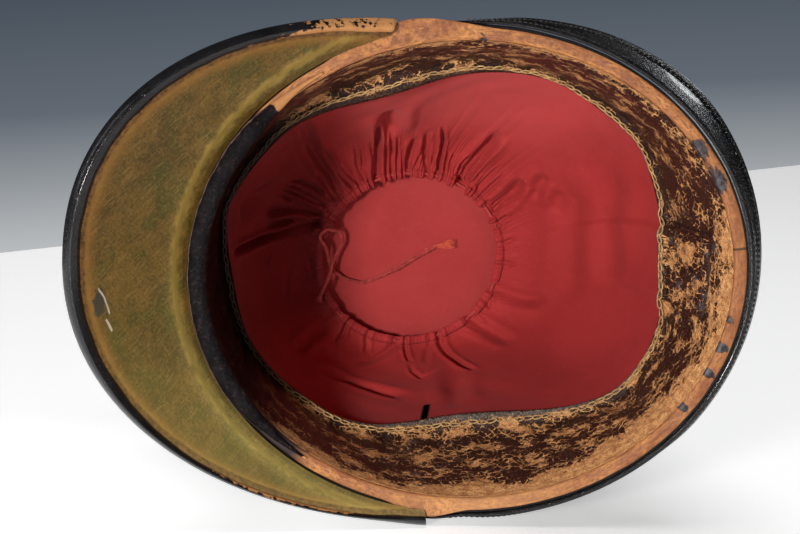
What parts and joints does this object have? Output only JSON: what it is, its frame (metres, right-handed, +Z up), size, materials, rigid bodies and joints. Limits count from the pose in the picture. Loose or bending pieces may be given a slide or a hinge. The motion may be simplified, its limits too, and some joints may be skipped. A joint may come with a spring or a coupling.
{
  "type": "shako",
  "caption": "Tapered military cap with a drooping front visor, a turned-up rear peak, a leather sweatband and a gathered red lining on a drawstring.",
  "frame": {"origin": "centre of the head opening, in the plane of the rim", "axes": "+Z up to the crown as worn, -Y forward over the visor, +X to the wearer's left"},
  "size_m": [0.1873, 0.2594, 0.1879],
  "materials": {
    "felt": "blocked felt, matte",
    "cover_cloth": "fine black cloth",
    "patent": "black patent leather, crackled, glossy",
    "board": "laminated board, matte",
    "rim_tan": "worn tan leather",
    "roll_leather": "dark rolled leather, rubbed",
    "visor_green": "olive green leather, fine cross-hatched grain",
    "sweat_leather": "dark red-brown leather, crackled and flaked to tan",
    "stitch": "waxed yellow thread",
    "black_thread": "waxed black thread",
    "red_cloth": "fine red cotton sateen",
    "red_cord": "thin red cord"
  },
  "bodies": {
    "root": {"felt_body": "felt", "body_cover": "cover_cloth", "back_strap": "patent", "base_band": "patent", "base_band_seam": "black_thread", "top_band": "patent", "top_band_seam": "black_thread", "crown_edge": "patent", "crown_disc": "patent", "crown_board": "board", "crown_lining": "red_cloth", "rim_leather": "rim_tan", "rim_roll": "roll_leather", "visor_board": "board", "visor_top": "patent", "visor_underside": "visor_green", "visor_binding": "patent", "rear_peak": "patent", "rear_peak_binding": "patent", "rear_peak_seam": "black_thread", "sweatband": "sweat_leather", "sweatband_patch": "sweat_leather", "sweatband_stitch": "stitch", "side_lining": "red_cloth", "lining_hem": "red_cloth", "drawstring_run": "red_cord", "drawstring": "red_cord", "drawstring_knot": "red_cord", "drawstring_tassel": "red_cord"}
  },
  "joints": []
}
